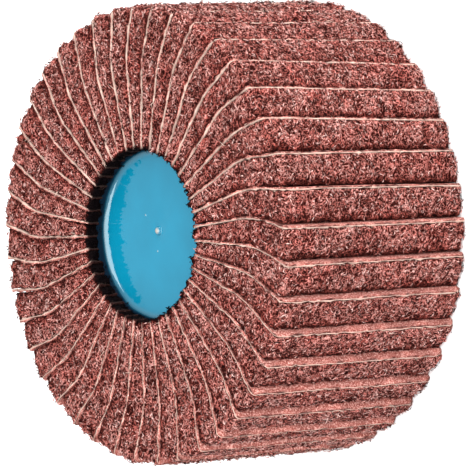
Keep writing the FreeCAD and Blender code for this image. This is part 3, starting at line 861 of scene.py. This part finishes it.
class FLAPWHEEL_OT_resin(bpy.types.Operator):
    """Make the cast resin core"""

    bl_idname = "flapwheel.resin"
    bl_label = "Resin core"

    # Place, height and width of each mark, in mm.
    DOMES = ((0.72, -0.65, 0.75, 1.0), (4.55, 3.24, 0.16, 0.25), (-3.66, 0.19, 0.14, 0.22))
    HOLLOWS = ((0.72, -0.65, -0.2, 1.7), (3.98, -3.05, -0.06, 1.7))

    def execute(self, context):
        core = context.scene.core_sizes
        hub = context.scene.hub_sizes
        radius, front, back = in_mm(core, "radius"), in_mm(core, "front"), in_mm(core, "back")
        waist, flange = in_mm(core, "waist"), in_mm(core, "flange")
        seat, seat_end = in_mm(hub, "barrel") + 0.03, in_mm(hub, "total") + 0.03
        # The skin runs a little way into the flaps' roots.
        edge = radius + 0.35
        marked = np.linspace(POLE, 6.6, 40)
        plain = np.linspace(7.2, radius - 4.4, 5)
        rising = radius - 4.0 + (edge - radius + 4.0) * np.linspace(0, 1, 26) ** 0.75
        top = np.concatenate([marked, plain, rising])
        top = np.stack([top, np.full(len(top), front)], axis=-1)
        rest = polyline([
            (edge, front - 0.6), (radius, front - flange), (waist, front - flange),
            (waist, back + flange), (radius, back + flange), (edge, back + 0.3),
        ], 4.0)
        bottom = polyline([(edge, back), (seat + 0.4, back), (seat, back + 0.4), (seat, seat_end)], 1.4)
        profile = np.concatenate([top, rest, bottom, [(POLE, seat_end)]])
        points = lathe(profile, 240)
        rng = np.random.default_rng(RESIN_SEED)
        plan = points * [1, 1, 0]
        from_flaps = radius - np.linalg.norm(plan, axis=-1) + 0.06 * hills(plan, rng, 7.0)
        close = np.exp(-np.clip(from_flaps, -0.1, None) / in_mm(core, "creep_fall"))
        uneven = 1 + 0.06 * hills(plan, rng, 9.0) + 0.1 * hills(plan, rng, 1.4) * close**2
        side = 0.35 + 0.65 * crept(plan)
        rise = in_mm(core, "creep") * uneven * close * side
        order = np.arange(len(profile))
        faces_front = order < len(top)
        faces_back = (order >= len(top) + len(rest)) & (profile[:, 1] < back + 0.1)
        points[..., 2] += np.where(faces_front, rise + self.marks(points), 0)
        points[..., 2] -= np.where(faces_back, 0.4 * rise, 0)
        skin, quads, fans = close_poles(points, grid_faces(*points.shape[:2]))
        # The edge mask: matt resin where the roots soak it, and painted shade beside the flaps' walls,
        # reaching further where the resin crept highest.
        soaked_and_shaded = np.clip(close * (1.0 + 0.6 * crept(plan)), 0, 1)
        soaked_and_shaded = np.where(faces_front | faces_back, soaked_and_shaded, 0)
        soaked_and_shaded = np.concatenate([soaked_and_shaded.ravel(), [0, 0]])
        # Where the pale of air under the skin and a painted highlight go.
        bubble = np.where(faces_front, self.froth_and_highlight(points), 0)
        bubble = np.concatenate([bubble.ravel(), [0, 0]])
        values = {"edge": soaked_and_shaded, "bubble": bubble}
        mesh = make_mesh("resin_piece", skin, quads, fans, values, resin_material(core))
        add_piece(mesh.name, mesh, "resin", "resin_core")
        return {"FINISHED"}

    def marks(self, points):
        """Relief of the cured surface: a bubble in a shallow moat, two pinheads and a dimple.

        A bubble or pinhead is a dome, height * sqrt(1 - (d / width)^2), at a distance d from its place.
        The moat and the dimple are height * exp(-(d / width)^2)."""
        relief = np.zeros(points.shape[:2])
        for x, y, height, width in self.DOMES:
            apart = np.hypot(points[..., 0] - x, points[..., 1] - y)
            relief += height * np.sqrt(np.clip(1 - (apart / width) ** 2, 0, None))
        for x, y, height, width in self.HOLLOWS:
            apart = np.hypot(points[..., 0] - x, points[..., 1] - y)
            relief += height * np.exp(-(apart / width) ** 2)
        return relief

    def froth_and_highlight(self, points):
        """How much air lies under the skin, and where a painted highlight goes: 1 in the middle of a dome,
        falling to 0 at its rim.
        """
        air = np.zeros(points.shape[:2])
        for x, y, height, width in self.DOMES:
            apart = np.hypot(points[..., 0] - x, points[..., 1] - y)
            air = np.maximum(air, np.clip(1.6 - 1.9 * apart / width, 0, 1))
        return air


class FLAPWHEEL_OT_hub(bpy.types.Operator):
    """Make the threaded steel hub"""

    bl_idname = "flapwheel.hub"
    bl_label = "Threaded hub"

    def execute(self, context):
        hub = context.scene.hub_sizes
        barrel, flange = in_mm(hub, "barrel"), in_mm(hub, "flange")
        seat = in_mm(context.scene.core_sizes, "back")
        crest, ground, pitch = in_mm(hub, "crest"), in_mm(hub, "ground"), in_mm(hub, "pitch")
        depth, top = in_mm(hub, "depth"), in_mm(hub, "total")
        outside = polyline([
            (POLE, top), (barrel - 0.4, top), (barrel, top - 0.4), (barrel, seat), (flange - 0.1, seat),
            (flange, seat - 0.1), (flange, 0.4), (flange - 0.4, 0.0), (ground + 0.25, 0.0),
        ], 3.0)
        levels = np.arange(0.25, depth, 0.16)
        thread = np.stack([np.full(len(levels), crest), levels], axis=-1)
        bottom = np.array([(crest - 0.4, depth + 0.2), (2.5, depth + 2.1), (POLE, depth + 3.5)])
        profile = np.concatenate([outside, thread, bottom])
        points = lathe(profile, 72)
        turned = np.arctan2(points[..., 1], points[..., 0]) / (2 * np.pi)
        wave = (points[..., 2] / pitch - turned) % 1
        tooth = np.clip(1.25 - np.abs(wave - 0.5) * 3.4, 0, 1)
        runout = np.clip((depth - 1.5 - points[..., 2]) / pitch, 0, 1)
        cut = (ground - crest) * tooth * runout
        mouth = np.clip(1.2 - points[..., 2], 0, 1.2)
        order = np.arange(len(profile))
        in_thread = (order >= len(outside)) & (order < len(outside) + len(thread))
        radius = np.where(in_thread, np.maximum(crest + cut, crest + mouth), profile[:, 0])
        points[..., :2] *= (radius / profile[:, 0])[..., None]
        skin, quads, fans = close_poles(points, grid_faces(*points.shape[:2]))
        mesh = make_mesh("hub_piece", skin, quads, fans, {}, steel_material(hub))
        add_piece(mesh.name, mesh, "hub_steel", "threaded_hub")
        return {"FINISHED"}


class FLAPWHEEL_OT_stage(bpy.types.Operator):
    """Make the floor, the light and the camera"""

    bl_idname = "flapwheel.stage"
    bl_label = "Stage"

    def execute(self, context):
        self.floor()
        self.lights(context.scene)
        self.camera(context.scene)
        return {"FINISHED"}

    def floor(self):
        """A plain white floor under the wheel."""
        size = 1.5
        mesh = bpy.data.meshes.new("floor")
        corners = [(-size, -size, 0), (size, -size, 0), (size, size, 0), (-size, size, 0)]
        mesh.from_pydata(corners, [], [(0, 1, 2, 3)])
        material, tree, shader, _ = new_material("matt_white_paint")
        fill(tree, shader, {"Base Color": linear("F4F4F4"), "Roughness": 0.9})
        mesh.materials.append(material)
        floor = bpy.data.objects.new("floor", mesh)
        bpy.context.scene.collection.objects.link(floor)

    def lights(self, scene):
        """An even white room and four soft boxes: over the face, before the rim, and one on each side,
        which the rolled picture shows as above and below."""
        world = bpy.data.worlds.new("even_white")
        world.use_nodes = True
        fill(world.node_tree, world.node_tree.nodes["Background"], {"Color": grey(1), "Strength": 0.98})
        scene.world = world
        self.soft_box(scene, "box_over_the_face", (0.0, -0.24, 1.1), (1.0, 1.36), 21.0)
        self.soft_box(scene, "box_at_the_rim", (0.2, -1.1, 0.35), (0.8, 0.8), 12.0)
        self.soft_box(scene, "box_above", (1.15, -0.45, 0.3), (0.7, 0.7), 19.0)
        self.soft_box(scene, "box_below", (-1.15, -0.45, 0.3), (0.7, 0.7), 9.0)

    def soft_box(self, scene, name, place, size, power):
        """A rectangular lamp that faces the wheel. The one over the face looks straight down."""
        data = bpy.data.lights.new(name, "AREA")
        data.energy = power
        data.shape = "RECTANGLE"
        data.size, data.size_y = size
        lamp = bpy.data.objects.new(name, data)
        lamp.location = place
        lamp.rotation_mode = "QUATERNION"
        toward = (0, 0, 1) if place[2] > 1 else place
        lamp.rotation_quaternion = Vector(toward).to_track_quat("Z", "Y")
        scene.collection.objects.link(lamp)

    def camera(self, scene):
        """The photo's camera, rolled a quarter turn, so that the wheel's axis lies level.

        It looks at the front face at 51 degrees from the axis, and it is turned about the axis until
        the flaps stand as they do in the photo."""
        turn = math.radians(-3.9)
        sine, cosine = 0.77919, 0.62679
        inward = np.array([-math.sin(turn), math.cos(turn), 0.0])
        axis = np.array([0.0, 0.0, 1.0])
        forward = sine * inward - cosine * axis
        right = -cosine * inward - sine * axis
        down = np.cross(forward, right)
        roll = 0.052327
        across = math.cos(roll) * right + math.sin(roll) * down
        up = math.sin(roll) * right - math.cos(roll) * down
        middle, distance = np.array([0, 0, 0.02546]), 1.1
        place = middle - forward * distance
        data = bpy.data.cameras.new("camera")
        data.lens = 384.0
        data.shift_x, data.shift_y = 0.0133, -0.0094
        data.clip_start, data.clip_end = 0.05, 20
        camera = bpy.data.objects.new("camera", data)
        scene.collection.objects.link(camera)
        matrix = Matrix.Identity(4)
        for column, way in enumerate((across, up, -forward, place)):
            for row in range(3):
                matrix[row][column] = way[row]
        camera.matrix_world = matrix
        scene.camera = camera
        scene.render.resolution_x = scene.render.resolution_y = 470
        scene.view_settings.view_transform = "Standard"


class FLAPWHEEL_PT_panel(bpy.types.Panel):
    """Buttons and sizes of the wheel"""

    bl_idname = "FLAPWHEEL_PT_panel"
    bl_label = "Flap wheel"
    bl_space_type = "VIEW_3D"
    bl_region_type = "UI"
    bl_category = "Flap wheel"

    def draw(self, context):
        for operator in OPERATORS:
            self.layout.operator(operator.bl_idname)
        for group in ("flap_sizes", "flap_colours", "core_sizes", "hub_sizes"):
            values = getattr(context.scene, group)
            box = self.layout.box()
            for name in values.bl_rna.properties.keys():
                if name not in ("rna_type", "name"):
                    box.prop(values, name)


GROUPS = {
    "flap_sizes": FlapSizes, "flap_colours": FlapColours, "core_sizes": CoreSizes, "hub_sizes": HubSizes,
}
OPERATORS = (
    FLAPWHEEL_OT_web, FLAPWHEEL_OT_cloth, FLAPWHEEL_OT_resin, FLAPWHEEL_OT_hub, FLAPWHEEL_OT_stage,
)


def register():
    for kind in (*GROUPS.values(), *OPERATORS, FLAPWHEEL_PT_panel):
        bpy.utils.register_class(kind)
    for name, kind in GROUPS.items():
        setattr(bpy.types.Scene, name, bpy.props.PointerProperty(type=kind))


def unregister():
    for name in GROUPS:
        delattr(bpy.types.Scene, name)
    for kind in (FLAPWHEEL_PT_panel, *reversed(OPERATORS), *reversed(GROUPS.values())):
        bpy.utils.unregister_class(kind)


def main():
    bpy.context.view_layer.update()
    register()
    bpy.ops.flapwheel.web()
    bpy.ops.flapwheel.cloth()
    bpy.ops.flapwheel.resin()
    bpy.ops.flapwheel.hub()
    bpy.ops.flapwheel.stage()


if __name__ == "__main__":
    main()
